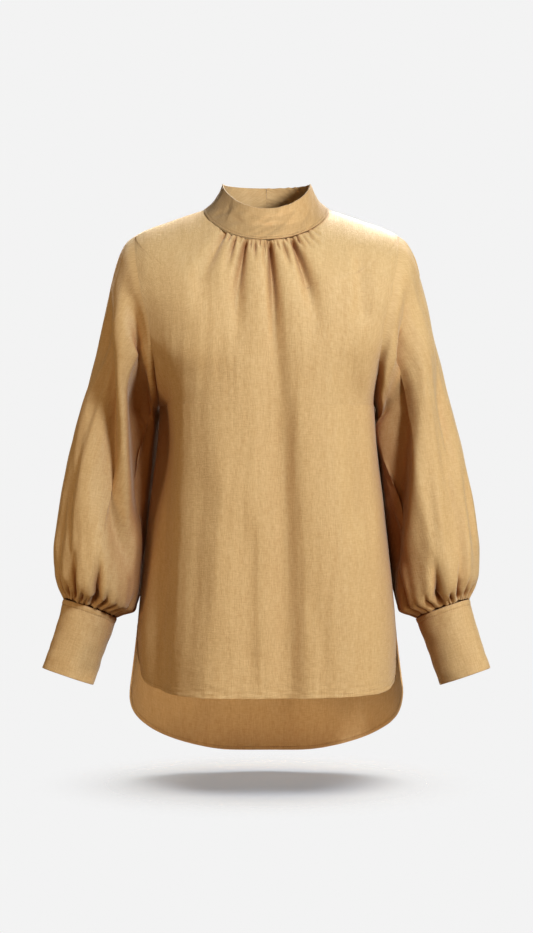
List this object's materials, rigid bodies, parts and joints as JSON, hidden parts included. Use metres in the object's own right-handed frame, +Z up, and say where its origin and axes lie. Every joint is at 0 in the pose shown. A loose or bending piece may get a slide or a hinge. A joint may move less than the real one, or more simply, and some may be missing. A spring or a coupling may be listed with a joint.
{
  "type": "blouse",
  "caption": "Camel blouse, filled out: high funnel collar, gathered neckline, full bishop sleeves gathered into deep cuffs, and a rounded hem that is longer at the back.",
  "frame": {"origin": "middle of the neck, level with the neck ends of the shoulder seams, where the wearer's neck and shoulders hold the garment up", "axes": "+Z up through the neck, -Y towards the front of the garment, +X towards the wearer's left sleeve"},
  "size_m": [0.615, 0.2527, 0.7964],
  "materials": {
    "camel_cloth": "fine woven linen and viscose with slubs and a soft sheen",
    "horn_button": "soft gloss"
  },
  "bodies": {
    "root": {"front": "camel_cloth", "back": "camel_cloth", "collar": "camel_cloth", "sleeve_left": "camel_cloth", "sleeve_right": "camel_cloth", "cuff_left": "camel_cloth", "cuff_right": "camel_cloth", "button_upper": "horn_button", "button_lower": "horn_button", "loop_upper": "camel_cloth", "loop_lower": "camel_cloth"}
  },
  "joints": []
}
